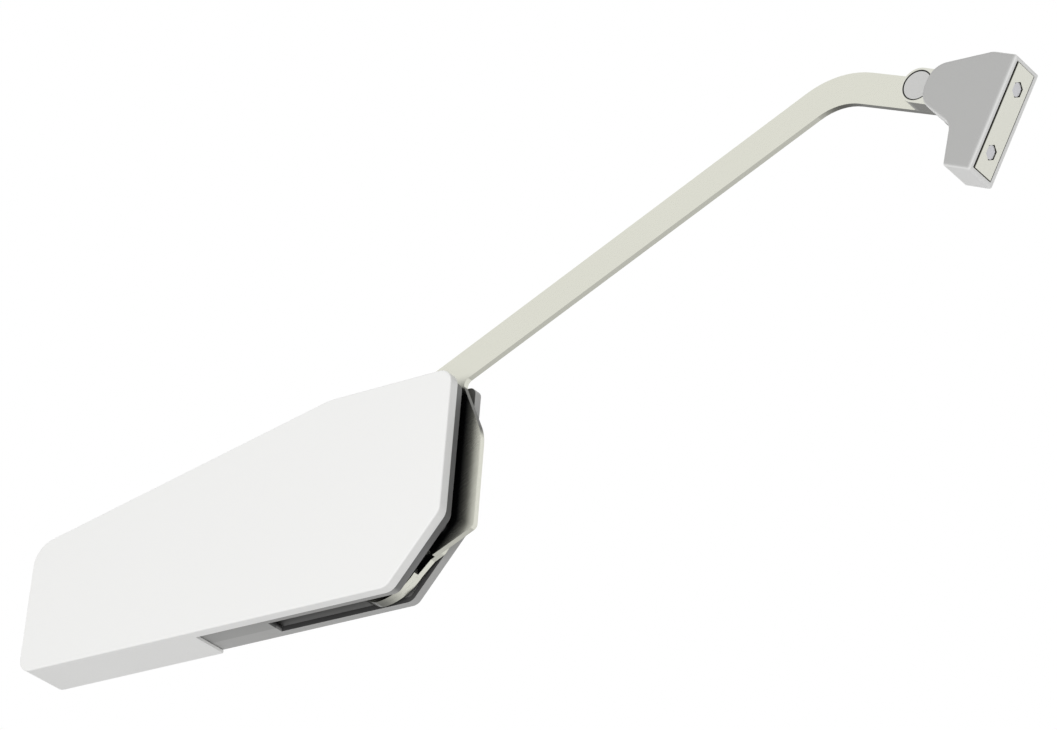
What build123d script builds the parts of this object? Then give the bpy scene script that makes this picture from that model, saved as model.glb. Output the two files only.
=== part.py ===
from build123d import *
import os
from math import atan2, cos, degrees, radians, sin, sqrt, tan

# Lift-up flap stay for the right-hand side panel of a wall cabinet, in millimetres.
# X points to the cabinet's front, +Y into the side panel, +Z up. The origin is where the
# lever's axis meets the side panel. A "depth" is a distance from the side panel's face.

os.makedirs("parts", exist_ok=True)

# Housing outline, seen from the room
housing_length = 172.0
front_height = 72.6
rear_height = 46.0
slope_start = 49.1          # from the front back to where the top starts to fall
chamfer_run = 18.6
chamfer_rise = 22.7
housing_depth = 17.8
pivot_back = 29.5           # lever axis behind the front face
pivot_up = 19.0             # lever axis above the bottom face
corner_radius = 5.0
rear_top_radius = 9.0
slope_radius = 20.0

# White cover
cover_wall = 1.0
cover_skin = 1.6
cover_gap = 0.25
rim_height = 3.8
cover_deep_length = 73.8    # rear stretch that reaches back to the side panel
cover_edge = 0.6
post_radius = 2.0
post_length = 1.2
post_gap = 0.15
post_upper_front = 60.0     # posts under the skin, as the joining screws
post_upper_drop = 24.0
post_lower_front = 90.0
post_lower_rise = 8.0
post_rear = 20.0
post_rear_up = 6.6

# Case halves
case_wall = 1.8
outer_floor = 2.0
inner_floor = 1.6
seam_depth = 5.9
flush_gap = 0.3             # to the end of the cover's deep wall
flush_radius = 2.5
slot_near_panel = 3.0
slot_width = 7.0
slot_bottom_run = 71.6
slot_top_run = 37.5
slot_top_reach = 8.0        # how far the slot's mouth reaches in from each side
slot_front_reach = 12.0
slot_bottom_reach = 12.0
slot_corner = 4.0

# Mounting screws
mount_rear = 9.0            # rear pair ahead of the rear face
mount_upper_front = 67.0    # front one of the upper row
mount_lower_front = 77.0    # front one of the lower row
mount_lower = 7.5           # lower row above the bottom face
mount_rows = 32.0           # between the rows
mount_hole_radius = 2.1
mount_boss_radius = 3.8
mount_head_radius = 3.6
joining_screw_radius = 1.2
joining_boss_radius = 2.6
joining_head_radius = 2.2
joining_head_height = 1.2
joining_upper_front = 62.0  # joining screws: two behind the front face, one ahead of the rear
joining_upper_drop = 14.0
joining_lower_front = 112.0
joining_lower_rise = 7.0
joining_rear = 29.0
joining_rail_gap = 1.2

# Lever
lever_angle = 25.0
arm_width = 10.7
arm_offset = 41.95          # arm's centre line above the lever axis
arm_reach = 200.5           # lever axis to the elbow, along the arm
elbow_angle = 47.5
end_length = 34.5           # elbow to the bracket pin
end_overrun = 6.0
end_corner = 1.8
elbow_radius = 24.0         # of the arm's centre line
sheet = 2.0
arm_depth = 6.5             # far face of the arm plate
hub_radius = 18.2
hub_front = 46.8
hub_front_low = 33.2
hub_shoulder = 14.6
hub_low = 14.8
hub_rear = 12.0
notch_turn = 298.0          # rear end of the notch in the hub's edge, round the axis
notch_rise = 4.5
notch_front = 16.0
notch_lip = 14.6
cam_front = 37.0            # cam plate's front corner, and its height
cam_front_up = 14.0
cam_top_front = 24.0
cam_top = 38.0
cam_toe_front = 27.0
cam_toe_up = -9.0
arm_root_radius = 2.5
shoulder_radius = 16.0
root_radius = 4.0
plate_corner = 2.0
axle_radius = 4.0
bush_radius = 5.6
bush_play = 0.06
bush_side_play = 0.1
pivot_boss_radius = 6.6
boss_to_plate = 0.3
rivet_radius = 2.0
rivet_head_radius = 3.2
rivet_head_height = 0.7
press_gap = 0.02

# Cam, roller and spring slide
slide_travel = 10.0
lever_swing = 110.0
overtravel = 5.0
follower_height = 9.0
roller_radius = 5.0
roller_width = 3.6
roller_play = 0.06
roller_pin_radius = 2.0
cam_clearance = 0.15
cheek = 1.8
cheek_tip_radius = 3.8
fork_height = 12.0
fork_web_back = 8.0
shoulder_front = 35.0       # behind the roller
shoulder_thickness = 4.0
shoulder_height = 25.0
slide_play = 0.3
slide_rail = 1.6
slide_rail_height = 2.6

# Springs, seat and force adjustment
spring_radius = 5.7
spring_wire = 0.8
spring_turns = 9
spring_pitch_z = 12.2       # between the two spring axes
spring_end_gap = 0.3
guide_rod_radius = 2.8
guide_rod_end_gap = 1.5     # rods' ends to the seat, springs fully pressed
seat_thickness = 4.0
seat_nut_radius = 5.0
seat_nut_length = 12.0
spindle_radius = 2.5
spindle_play = 0.06
wheel_radius = 6.0
wheel_width = 4.0
wheel_notches = 12
wheel_notch = 1.6
bearing_sheet = 2.0
bearing_height = 18.0
seat_adjustment = 6.0
seat_to_wheel = 4.0
wheel_play = 0.1
bearing_to_wall = 0.8
spindle_window = 9.0

# Damper
damper_radius = 4.0
damper_rod_radius = 1.5
damper_height = 27.5
damper_rear = 40.45         # cylinder's rear end ahead of the housing's rear face
damper_end_gap = 6.0        # rod's end to the cylinder's floor, fully pressed
damper_front = 15.5         # cylinder's front behind the shoulder's rear face
lug_width = 6.0
damper_play = 0.1

# Flap bracket, in its own frame: v points at the flap, u runs up along it, from the pin
bracket_turn = 48.8         # from the straight arm to the bracket as it stands
bracket_angle = lever_angle - bracket_turn
flap_face = 32.5
cap_top = 13.4
cap_bottom = 24.9
cap_nose = 4.1
cap_slope_start = 23.5
nose_top = 6.4
nose_low = 5.4
waist_v = 18.7
waist_u = -11.6
heel_v = 22.5
cap_depth = 3.9
cap_width = 13.6
cap_near_wall = 1.9
cap_wall = 1.4
cap_edge = 1.2
nose_radius = 7.0
waist_radius = 5.0
top_radius = 6.0
cap_corner = 0.8
eye_radius = 5.85
eye_depth = 9.0
eye_width = 6.2
plate_gap = 0.3
cap_setback = 0.2           # cap's rim behind the plate's face
base_sheet = 2.1
plate_width = 9.3
hex_flats = 4.4
hex_gap = 0.1
hex_spacing = 20.9
hex_upper = 4.8
hex_height = 1.6
bolt_radius = 1.5
bolt_length = 5.5
pin_radius = 3.0
pin_play = 0.05
pin_head_radius = 4.7
pin_head_gap = 0.25
pin_head_height = 1.4
pin_tail_radius = 4.4
pin_tail_height = 0.6
washer_thickness = 0.4
arm_sweep_top = 20.5        # how far the arm swings over the bracket's top
arm_sweep_low = 9.0

# Derived places
front_x = pivot_back
rear_x = pivot_back - housing_length
bottom_z = -pivot_up
top_z = front_height - pivot_up
case_inset = cover_wall + cover_gap
case_top = housing_depth - cover_skin - 0.2
cavity_top = case_top - inner_floor
slot_far = slot_near_panel + slot_width
mid_depth = (outer_floor + cavity_top) / 2
cam_depth = arm_depth - sheet
plates_top = arm_depth + sheet
plates_mid = arm_depth
slot_bottom_x = front_x - slot_bottom_run
slot_top_x = front_x - slot_top_run
eye_top = eye_depth + eye_width
roller_x = -(sqrt((hub_radius + roller_radius + cam_clearance) ** 2 - follower_height ** 2) - slide_travel)
shoulder_x = roller_x - shoulder_front
spring_front_x = shoulder_x - shoulder_thickness
bearing_rear_x = rear_x + case_inset + case_wall + bearing_to_wall
wheel_rear_x = bearing_rear_x + bearing_sheet + wheel_play
wheel_front_x = wheel_rear_x + wheel_width
seat_front_x = wheel_front_x + seat_to_wheel + seat_nut_length + seat_thickness
spring_length = spring_front_x - seat_front_x
guide_rod_length = spring_length - slide_travel - seat_adjustment - guide_rod_end_gap
cylinder_front_x = spring_front_x - damper_front
damper_length = cylinder_front_x - rear_x - damper_rear
slide_low = outer_floor + slide_play
slide_high = cavity_top - slide_play
mount_points = [
    (rear_x + mount_rear, bottom_z + mount_lower + mount_rows),
    (front_x - mount_upper_front, bottom_z + mount_lower + mount_rows),
    (rear_x + mount_rear, bottom_z + mount_lower),
    (front_x - mount_lower_front, bottom_z + mount_lower),
]
rail_up = shoulder_height / 2 + slide_play
joining_points = [
    (front_x - joining_upper_front, top_z - joining_upper_drop),
    (front_x - joining_lower_front, bottom_z + joining_lower_rise),
    (rear_x + joining_rear, follower_height + rail_up + joining_rail_gap + joining_boss_radius),
]
post_points = [
    (front_x - post_upper_front, top_z - post_upper_drop),
    (front_x - post_lower_front, bottom_z + post_lower_rise),
    (rear_x + post_rear, follower_height + post_rear_up),
]


def side_plane(depth):
    """The plane parallel to the side panel at a depth, with its normal towards the room."""
    return Plane(origin=(0, -depth, 0), x_dir=(1, 0, 0), z_dir=(0, -1, 0))


def lever_plane(depth):
    """The same plane turned so that its x runs along the lever's arm."""
    along = (cos(radians(lever_angle)), 0, sin(radians(lever_angle)))
    return Plane(origin=(0, -depth, 0), x_dir=along, z_dir=(0, -1, 0))


end_turn = radians(-elbow_angle)
pin_s = arm_reach + end_length * cos(end_turn)
pin_t = arm_offset + end_length * sin(end_turn)
pin_x = pin_s * cos(radians(lever_angle)) - pin_t * sin(radians(lever_angle))
pin_z = pin_s * sin(radians(lever_angle)) + pin_t * cos(radians(lever_angle))


def bracket_plane(depth):
    """The bracket's own plane at a depth: x points at the flap, y up along it, from the pin."""
    to_flap = (cos(radians(bracket_angle)), 0, sin(radians(bracket_angle)))
    return Plane(origin=(pin_x, -depth, pin_z), x_dir=to_flap, z_dir=(0, -1, 0))


def rounded_outline(corners, inset=0.0):
    """A closed outline through (x, y, radius) corners, pulled in by inset."""
    with BuildSketch() as outline:
        with BuildLine():
            Polyline(*[(x, y) for x, y, radius in corners], close=True)
        make_face()
        for x, y, radius in corners:
            if radius:
                fillet(outline.vertices().sort_by_distance((x, y))[0], radius)
        if inset:
            offset(amount=-inset)
    return outline.sketch


housing_corners = [
    (rear_x, bottom_z, corner_radius),
    (rear_x, bottom_z + rear_height, rear_top_radius),
    (front_x - slope_start, top_z, slope_radius),
    (front_x, top_z, corner_radius),
    (front_x, bottom_z + chamfer_rise, corner_radius),
    (front_x - chamfer_run, bottom_z, corner_radius),
]
cover_outline = rounded_outline(housing_corners)
cover_inside = rounded_outline(housing_corners, cover_wall)
case_outline = rounded_outline(housing_corners, case_inset)
cavity_outline = rounded_outline(housing_corners, case_inset + case_wall)
flush_rear_x = rear_x + cover_deep_length + flush_gap
rear_top_z = bottom_z + rear_height
slope = (top_z - rear_top_z) / (housing_length - slope_start)
flush_outline = rounded_outline([
    (flush_rear_x, pivot_boss_radius, 0), (flush_rear_x, rear_top_z + slope * (flush_rear_x - rear_x), 0),
    (front_x - slope_start, top_z, slope_radius), (front_x - case_inset, top_z, flush_radius),
    (front_x - case_inset, pivot_boss_radius, 0),
])

# The zone in which the housing's edge is open for the lever: bottom, chamfer, front and top
with BuildSketch() as slot_zone:
    with BuildLine():
        Polyline(
            (slot_bottom_x, bottom_z - 5), (front_x + 5, bottom_z - 5), (front_x + 5, top_z + 5),
            (slot_top_x, top_z + 5), (slot_top_x, top_z - slot_top_reach),
            (front_x - slot_front_reach, top_z - slot_top_reach),
            (front_x - slot_front_reach, bottom_z + slot_bottom_reach + slot_corner),
            (front_x - slot_front_reach - slot_corner, bottom_z + slot_bottom_reach),
            (slot_bottom_x, bottom_z + slot_bottom_reach),
            close=True,
        )
    make_face()

# White cover: a skin with a low rim, and full-depth walls round the rear
with BuildPart() as cover_cap:
    with BuildSketch(side_plane(0)):
        add(cover_outline)
    extrude(amount=housing_depth)
    fillet(cover_cap.faces().sort_by(Axis.Y)[0].edges(), cover_edge)
    with BuildSketch(side_plane(0)):
        add(cover_inside)
    extrude(amount=housing_depth - cover_skin, mode=Mode.SUBTRACT)
    with BuildSketch(side_plane(0)):
        with Locations((rear_x + cover_deep_length, 0)):
            Rectangle(housing_length, 3 * front_height, align=(Align.MIN, Align.CENTER))
    extrude(amount=housing_depth - rim_height, mode=Mode.SUBTRACT)
    with BuildSketch(side_plane(housing_depth - cover_skin)):
        with Locations(*post_points):
            Circle(post_radius)
    extrude(amount=-post_length)

# Outer case half, screwed to the side panel
with BuildPart() as outer_case:
    with BuildSketch(side_plane(0)):
        add(case_outline)
        add(flush_outline)
    extrude(amount=seam_depth)
    with BuildSketch(side_plane(outer_floor)):
        add(cavity_outline)
    extrude(amount=seam_depth, mode=Mode.SUBTRACT)
    with BuildSketch(side_plane(slot_near_panel)):
        add(slot_zone.sketch)
    extrude(amount=seam_depth, mode=Mode.SUBTRACT)
    with BuildSketch(side_plane(outer_floor)):
        Circle(pivot_boss_radius)
    extrude(amount=cam_depth - boss_to_plate - outer_floor)
    with BuildSketch(side_plane(outer_floor)):
        with Locations(*mount_points):
            Circle(mount_boss_radius)
        with Locations(*joining_points):
            Circle(joining_boss_radius)
    extrude(amount=seam_depth - outer_floor)
    # Two rails that the spring slide and the spring seat run between
    with BuildSketch(side_plane(outer_floor)):
        for side in (1, -1):
            with Locations((seat_front_x, follower_height + side * rail_up)):
                Rectangle(
                    shoulder_x - seat_front_x + 3, slide_rail,
                    align=(Align.MIN, Align.MIN if side > 0 else Align.MAX),
                )
    extrude(amount=slide_rail_height)
    with BuildSketch(side_plane(0)):
        with Locations(*mount_points):
            Circle(mount_hole_radius)
    extrude(amount=seam_depth, mode=Mode.SUBTRACT)
    with BuildSketch(side_plane(outer_floor / 2)):
        with Locations(*joining_points):
            Circle(joining_screw_radius)
        Circle(axle_radius + press_gap)
    extrude(amount=seam_depth, mode=Mode.SUBTRACT)

# Inner case half, under the cover on the room side
with BuildPart() as inner_case:
    with BuildSketch(side_plane(seam_depth)):
        add(case_outline)
    extrude(amount=case_top - seam_depth)
    with BuildSketch(side_plane(seam_depth)):
        add(cavity_outline)
    extrude(amount=cavity_top - seam_depth, mode=Mode.SUBTRACT)
    with BuildSketch(side_plane(seam_depth)):
        add(slot_zone.sketch)
    extrude(amount=slot_far - seam_depth, mode=Mode.SUBTRACT)
    with BuildSketch(side_plane(plates_top + boss_to_plate)):
        Circle(pivot_boss_radius)
    extrude(amount=cavity_top - plates_top - boss_to_plate)
    with BuildSketch(side_plane(seam_depth)):
        with Locations(*mount_points):
            Circle(mount_boss_radius)
        with Locations(*joining_points):
            Circle(joining_boss_radius)
    extrude(amount=cavity_top - seam_depth)
    with BuildSketch(side_plane(seam_depth)):
        with Locations(*mount_points):
            Circle(mount_hole_radius)
        with Locations(*joining_points):
            Circle(joining_screw_radius + press_gap)
    extrude(amount=case_top, mode=Mode.SUBTRACT)
    with BuildSketch(side_plane(case_top - inner_floor)):
        with Locations(*mount_points):
            Circle(mount_head_radius)
    extrude(amount=inner_floor, mode=Mode.SUBTRACT)
    with BuildSketch(side_plane(case_top - joining_head_height)):
        with Locations(*joining_points):
            Circle(joining_head_radius + press_gap)
        with Locations(*post_points):
            Circle(post_radius + post_gap)
    extrude(amount=inner_floor, mode=Mode.SUBTRACT)
    with BuildSketch(side_plane(plates_top)):
        Circle(axle_radius + press_gap)
    extrude(amount=cavity_top - plates_top - 1.0, mode=Mode.SUBTRACT)
    # Window over the setting wheel
    with BuildSketch(side_plane(cavity_top)):
        with Locations(((wheel_front_x + wheel_rear_x) / 2, follower_height)):
            Rectangle(wheel_width + 1.6, spindle_window)
    extrude(amount=inner_floor, mode=Mode.SUBTRACT)

# Screws that join the case halves, heads on the room side
with BuildPart() as case_screws:
    with BuildSketch(side_plane(outer_floor / 2 + 0.3)):
        with Locations(*joining_points):
            Circle(joining_screw_radius - press_gap)
    extrude(amount=case_top - joining_head_height - outer_floor / 2 - 0.3)
    with BuildSketch(side_plane(case_top - joining_head_height)):
        with Locations(*joining_points):
            Circle(joining_head_radius - press_gap)
    extrude(amount=joining_head_height - 0.1)
    with BuildSketch(side_plane(case_top - 0.7)):
        for x, z in joining_points:
            with Locations((x, z)):
                Rectangle(2.4, 0.5)
                Rectangle(0.5, 2.4)
    extrude(amount=0.7, mode=Mode.SUBTRACT)

# Lever axle, held in blind bores of both halves
with BuildPart() as lever_axle:
    with BuildSketch(side_plane(outer_floor / 2 + 0.1)):
        Circle(axle_radius)
    extrude(amount=cavity_top - 1.2 - outer_floor / 2)
    chamfer(lever_axle.edges(), 0.4)


def roller_centre(swing):
    """Where the roller stands, in the arm's frame, with the lever swung by so many degrees."""
    x = roller_x + slide_travel * swing / lever_swing
    turn = radians(-swing - lever_angle)
    return Vector(x * cos(turn) - follower_height * sin(turn), x * sin(turn) + follower_height * cos(turn))


def cam_point(swing):
    """The cam's flank: the roller's path pulled towards the axis by its radius and clearance."""
    here = roller_centre(swing)
    along = (roller_centre(swing - 0.5) - roller_centre(swing + 0.5)).normalized()
    inward = Vector(-along.Y, along.X)
    if inward.dot(here) > 0:
        inward = -inward
    return here + inward * (roller_radius + cam_clearance)


cam_steps = 12
cam_flank = [
    cam_point(overtravel - (overtravel + lever_swing) * step / cam_steps) for step in range(cam_steps + 1)
]
open_centre = roller_centre(overtravel)
nose_side = open_centre + Vector(roller_radius + cam_clearance, 0)
nose_turn = atan2(cam_flank[0].Y - open_centre.Y, cam_flank[0].X - open_centre.X) / 2
nose_middle = open_centre + Vector(cos(nose_turn), sin(nose_turn)) * (roller_radius + cam_clearance)


def hub_point(turn):
    """A point of the hub's round edge, at an angle in the arm's frame."""
    return Vector(hub_radius * cos(radians(turn)), hub_radius * sin(radians(turn)))


flank_end_turn = degrees(atan2(cam_flank[-1].Y, cam_flank[-1].X)) % 360
elbow_half = tan(radians(elbow_angle / 2))
arm_low = arm_offset - arm_width / 2
arm_high = arm_offset + arm_width / 2
end_dir = Vector(cos(end_turn), sin(end_turn))
end_up = Vector(-sin(end_turn), cos(end_turn))
pin_point = Vector(pin_s, pin_t)
end_low = pin_point + end_dir * end_overrun - end_up * (arm_width / 2)
end_high = pin_point + end_dir * end_overrun + end_up * (arm_width / 2)
elbow_low = Vector(arm_reach - elbow_half * arm_width / 2, arm_low)
elbow_high = Vector(arm_reach + elbow_half * arm_width / 2, arm_high)
hub_notch_rear = hub_point(notch_turn)
notch_top = hub_notch_rear.Y + notch_rise

# Arm plate: hub with its cam flank, front shoulder, straight arm, elbow and end
with BuildPart() as arm_plate:
    with BuildSketch(lever_plane(arm_depth)) as arm_sketch:
        with BuildLine():
            Spline(*cam_flank)
            ThreePointArc(cam_flank[-1], hub_point((flank_end_turn + notch_turn) / 2), hub_notch_rear)
            Polyline(
                hub_notch_rear, (hub_notch_rear.X + 1.0, notch_top), (notch_front, notch_top),
                (notch_front + 0.4, -notch_lip),
                (hub_front_low, -hub_low), (hub_front, hub_shoulder), (hub_front, arm_low), elbow_low,
                end_low, end_high, elbow_high, (hub_rear, arm_high), nose_side,
            )
            ThreePointArc(nose_side, nose_middle, cam_flank[0])
        make_face()
        with Locations((0, 0)):
            Circle(bush_radius + press_gap, mode=Mode.SUBTRACT)
        with Locations(pin_point):
            Circle(pin_radius + press_gap, mode=Mode.SUBTRACT)
        rounding = [
            (elbow_low, elbow_radius - arm_width / 2), (elbow_high, elbow_radius + arm_width / 2),
            (end_low, end_corner), (end_high, end_corner), (Vector(hub_front, arm_low), arm_root_radius),
            (Vector(hub_front, hub_shoulder), shoulder_radius), (Vector(hub_front_low, -hub_low), plate_corner),
            (Vector(hub_rear, arm_high), root_radius),
        ]
        for corner, radius in rounding:
            fillet(arm_sketch.vertices().sort_by_distance(corner)[0], radius)
    extrude(amount=sheet)

# Cam plate: a second hub plate behind the first
rivet_points = [(18.0, 30.0), (30.0, 14.0), (22.0, -6.0)]
with BuildPart() as cam_plate:
    with BuildSketch(lever_plane(cam_depth)) as cam_sketch:
        with BuildLine():
            Spline(*cam_flank)
            ThreePointArc(cam_flank[-1], hub_point((flank_end_turn + notch_turn) / 2), hub_notch_rear)
            Polyline(
                hub_notch_rear, (notch_front - 1.5, 0.5 - notch_lip), (notch_front + 3.0, 0.5 - notch_lip),
                (cam_toe_front, cam_toe_up), (cam_front, cam_front_up), (cam_top_front, cam_top),
                (hub_rear, cam_top), nose_side,
            )
            ThreePointArc(nose_side, nose_middle, cam_flank[0])
        make_face()
        Circle(bush_radius + press_gap, mode=Mode.SUBTRACT)
        cam_rounding = [
            ((cam_front, cam_front_up), 6.0), ((cam_top_front, cam_top), 5.0), ((hub_rear, cam_top), 3.0),
            ((notch_front + 3.0, 0.5 - notch_lip), 3.0),
        ]
        for corner, radius in cam_rounding:
            fillet(cam_sketch.vertices().sort_by_distance(corner)[0], radius)
    extrude(amount=sheet)

for plate in (arm_plate, cam_plate):
    with plate:
        with BuildSketch(lever_plane(cam_depth)):
            with Locations(*rivet_points):
                Circle(rivet_radius + press_gap)
        extrude(amount=2 * sheet, mode=Mode.SUBTRACT)

# Rivets with a flat head on each side
with BuildPart() as hub_rivets:
    with BuildSketch(lever_plane(cam_depth - rivet_head_height)):
        with Locations(*rivet_points):
            Circle(rivet_head_radius)
    extrude(amount=rivet_head_height)
    with BuildSketch(lever_plane(cam_depth)):
        with Locations(*rivet_points):
            Circle(rivet_radius)
    extrude(amount=2 * sheet)
    with BuildSketch(lever_plane(plates_top)):
        with Locations(*rivet_points):
            Circle(rivet_head_radius)
    extrude(amount=rivet_head_height)

# Bearing bush of the hub
with BuildPart() as hub_bush:
    with BuildSketch(side_plane(cam_depth - boss_to_plate + bush_side_play)):
        Circle(bush_radius)
        Circle(axle_radius + bush_play, mode=Mode.SUBTRACT)
    extrude(amount=2 * (sheet + boss_to_plate - bush_side_play))

# Spring slide: shoulder for the springs, web and fork for the roller
cheek_far = plates_mid - sheet - boss_to_plate - cheek
cheek_near = plates_top + boss_to_plate
with BuildPart() as spring_slide:
    with BuildSketch(side_plane(slide_low)):
        with Locations((spring_front_x, follower_height)):
            Rectangle(shoulder_thickness, shoulder_height, align=(Align.MIN, Align.CENTER))
    extrude(amount=slide_high - slide_low)
    with BuildSketch(side_plane(cheek_far)):
        with Locations((shoulder_x, follower_height)):
            Rectangle(shoulder_front - fork_web_back, fork_height, align=(Align.MIN, Align.CENTER))
    extrude(amount=cheek_near + cheek - cheek_far)
    for depth in (cheek_far, cheek_near):
        with BuildSketch(side_plane(depth)):
            with BuildLine():
                Polyline(
                    (shoulder_x, follower_height + fork_height / 2),
                    (roller_x - fork_web_back, follower_height + fork_height / 2),
                    (roller_x, follower_height + cheek_tip_radius),
                    (roller_x, follower_height - cheek_tip_radius),
                    (roller_x - fork_web_back, follower_height - fork_height / 2),
                    (shoulder_x, follower_height - fork_height / 2), close=True,
                )
            make_face()
            with Locations((roller_x, follower_height)):
                Circle(cheek_tip_radius)
        extrude(amount=cheek)
    with BuildSketch(side_plane(mid_depth - lug_width / 2)):
        with Locations((spring_front_x, follower_height + shoulder_height / 2)):
            Rectangle(
                shoulder_thickness, damper_height + 3.0 - follower_height - shoulder_height / 2,
                align=(Align.MIN, Align.MIN),
            )
    extrude(amount=lug_width)
    with BuildSketch(side_plane(cheek_far)):
        with Locations((roller_x, follower_height)):
            Circle(roller_pin_radius + press_gap)
    extrude(amount=cheek_near + cheek, mode=Mode.SUBTRACT)

with BuildPart() as roller_pin:
    with BuildSketch(side_plane(cheek_far)):
        with Locations((roller_x, follower_height)):
            Circle(roller_pin_radius)
    extrude(amount=cheek_near + cheek - cheek_far)

with BuildPart() as cam_roller:
    with BuildSketch(side_plane(plates_mid - roller_width / 2)):
        with Locations((roller_x, follower_height)):
            Circle(roller_radius)
            Circle(roller_pin_radius + roller_play, mode=Mode.SUBTRACT)
    extrude(amount=roller_width)
    chamfer(cam_roller.edges().filter_by(GeomType.CIRCLE).group_by(SortBy.RADIUS)[-1], 0.3)

spring_axes = [follower_height + spring_pitch_z / 2, follower_height - spring_pitch_z / 2]


def cross_plane(x, z):
    """A plane across the housing's length, looking forward, centred in the cavity."""
    return Plane(origin=(x, -mid_depth, z), x_dir=(0, 1, 0), z_dir=(1, 0, 0))


with BuildPart() as guide_rods:
    for axis_z in spring_axes:
        with BuildSketch(cross_plane(spring_front_x, axis_z)):
            Circle(guide_rod_radius)
        extrude(amount=-guide_rod_length, taper=1.0)


def coil_spring(axis_z):
    """One round-wire compression spring between the seat and the slide's shoulder."""
    run = spring_length - 2 * (spring_end_gap + spring_wire)
    start_x = seat_front_x + spring_end_gap + spring_wire
    with BuildPart() as spring:
        with BuildLine():
            coil = Helix(
                pitch=run / spring_turns, height=run, radius=spring_radius - spring_wire,
                center=(start_x, -mid_depth, axis_z), direction=(1, 0, 0),
            )
        with BuildSketch(Plane(origin=coil @ 0, z_dir=coil % 0)):
            Circle(spring_wire)
        sweep()
    return spring


upper_spring = coil_spring(spring_axes[0])
lower_spring = coil_spring(spring_axes[1])

# Spring seat: rear seat of both springs, and the spindle's nut
with BuildPart() as spring_seat:
    with BuildSketch(side_plane(slide_low)):
        with Locations((seat_front_x, follower_height)):
            Rectangle(seat_thickness, shoulder_height, align=(Align.MAX, Align.CENTER))
    extrude(amount=slide_high - slide_low)
    with BuildSketch(cross_plane(seat_front_x - seat_thickness, follower_height)):
        Circle(seat_nut_radius)
    extrude(amount=-seat_nut_length)
    with BuildSketch(cross_plane(seat_front_x - 1.2, follower_height)):
        Circle(spindle_radius + spindle_play)
    extrude(amount=-seat_thickness - seat_nut_length, mode=Mode.SUBTRACT)

# Force spindle with its toothed setting wheel
with BuildPart() as force_spindle:
    with BuildSketch(cross_plane(seat_front_x - 2.0, follower_height)):
        Circle(spindle_radius)
    extrude(amount=-(seat_front_x - 2.0 - wheel_rear_x + bearing_sheet + 0.2))
    with BuildSketch(cross_plane(wheel_front_x, follower_height)):
        Circle(wheel_radius)
        with PolarLocations(wheel_radius, wheel_notches):
            Rectangle(wheel_notch, wheel_notch, mode=Mode.SUBTRACT)
    extrude(amount=-wheel_width)

with BuildPart() as bearing_plate:
    with BuildSketch(cross_plane(bearing_rear_x + bearing_sheet, follower_height)):
        Rectangle(slide_high - slide_low, bearing_height)
        Circle(spindle_radius + spindle_play, mode=Mode.SUBTRACT)
    extrude(amount=-bearing_sheet)

# Damper cylinder and rod, above the springs
with BuildPart() as damper_cylinder:
    with BuildSketch(cross_plane(cylinder_front_x, damper_height)):
        Circle(damper_radius)
    extrude(amount=-damper_length)
    with BuildSketch(cross_plane(cylinder_front_x, damper_height)):
        Circle(damper_rod_radius + damper_play)
    extrude(amount=-damper_length + 3.0, mode=Mode.SUBTRACT)
    chamfer(damper_cylinder.edges().filter_by(GeomType.CIRCLE).group_by(SortBy.RADIUS)[-1], 0.5)

with BuildPart() as damper_rod:
    with BuildSketch(cross_plane(spring_front_x, damper_height)):
        Circle(damper_rod_radius)
    extrude(amount=-(damper_front + damper_length - slide_travel - damper_end_gap))

# Bracket pin in the arm's end, its head sunk in the bracket's eye
with BuildPart() as bracket_pin:
    with BuildSketch(bracket_plane(arm_depth - pin_tail_height)):
        Circle(pin_tail_radius)
    extrude(amount=pin_tail_height)
    with BuildSketch(bracket_plane(arm_depth)):
        Circle(pin_radius)
    extrude(amount=eye_top - arm_depth - pin_head_height)
    with BuildSketch(bracket_plane(eye_top - pin_head_height - 0.1)):
        Circle(pin_head_radius)
    extrude(amount=pin_head_height)

with BuildPart() as pin_washer:
    with BuildSketch(bracket_plane(plates_top)):
        Circle(pin_head_radius)
        Circle(pin_radius + press_gap, mode=Mode.SUBTRACT)
    extrude(amount=washer_thickness)

cap_front = flap_face - cap_setback
cap_corners = [
    (cap_front, cap_top, cap_corner),
    (cap_slope_start, cap_top, top_radius),
    (cap_nose, nose_top, nose_radius),
    (cap_nose, -nose_low, nose_radius),
    (waist_v, waist_u, waist_radius),
    (heel_v, -cap_bottom, cap_corner),
    (cap_front, -cap_bottom, cap_corner),
]
cap_outline = rounded_outline(cap_corners)
cap_inside = rounded_outline(cap_corners, cap_wall)
plate_rear = flap_face - base_sheet
plate_top = cap_top - cap_wall - plate_gap
plate_bottom = -cap_bottom + cap_wall + plate_gap
plate_far = eye_top - plate_width
hex_points = [hex_upper, hex_upper - hex_spacing]
plate_mid_depth = eye_top - plate_width / 2


def flap_plane(v, u):
    """A plane across the bracket at v, facing the flap, centred on the base plate's width."""
    turn = radians(bracket_angle)
    to_flap = Vector(cos(turn), 0, sin(turn))
    up = Vector(-sin(turn), 0, cos(turn))
    origin = Vector(pin_x, -plate_mid_depth, pin_z) + to_flap * v + up * u
    return Plane(origin=origin, x_dir=up, z_dir=to_flap)


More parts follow.
